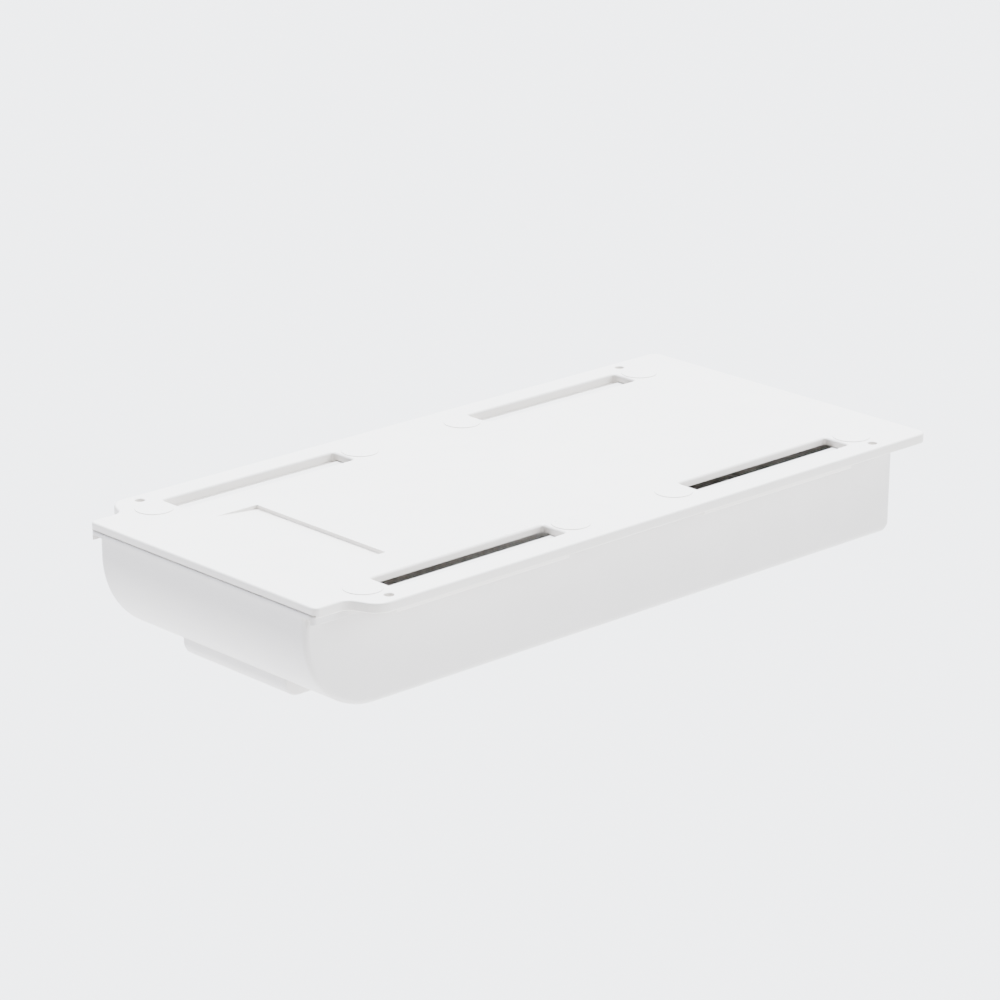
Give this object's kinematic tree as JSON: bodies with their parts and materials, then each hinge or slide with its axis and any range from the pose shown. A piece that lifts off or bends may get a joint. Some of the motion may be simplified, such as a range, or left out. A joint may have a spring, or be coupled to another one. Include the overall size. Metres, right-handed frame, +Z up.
{
  "type": "under desk drawer",
  "caption": "Slim tray that slides under a flat mounting plate on hanging rails, with a curved front and a finger pull below.",
  "frame": {"origin": "middle of the mounting plate's top face, which lies against the underside of the desk", "axes": "+Z up into the desk, -Y to the front, the way the tray pulls out, +X to the right seen from the front"},
  "size_m": [0.165, 0.3346, 0.052],
  "materials": {
    "plate_plastic": "white, satin, moulded",
    "rail_plastic": "white, satin, moulded",
    "tray_plastic": "white, fine matt grain, moulded"
  },
  "bodies": {
    "plate": {"mounting_plate": "plate_plastic", "rail_front_left": "rail_plastic", "rail_back_left": "rail_plastic", "rail_front_right": "rail_plastic", "rail_back_right": "rail_plastic"},
    "tray": {"drawer_tray": "tray_plastic"}
  },
  "joints": [
    {"name": "tray_slide", "type": "slide", "parent": "plate", "child": "tray", "axis": [0, -1, 0], "range_m": [0, 0.266]}
  ]
}
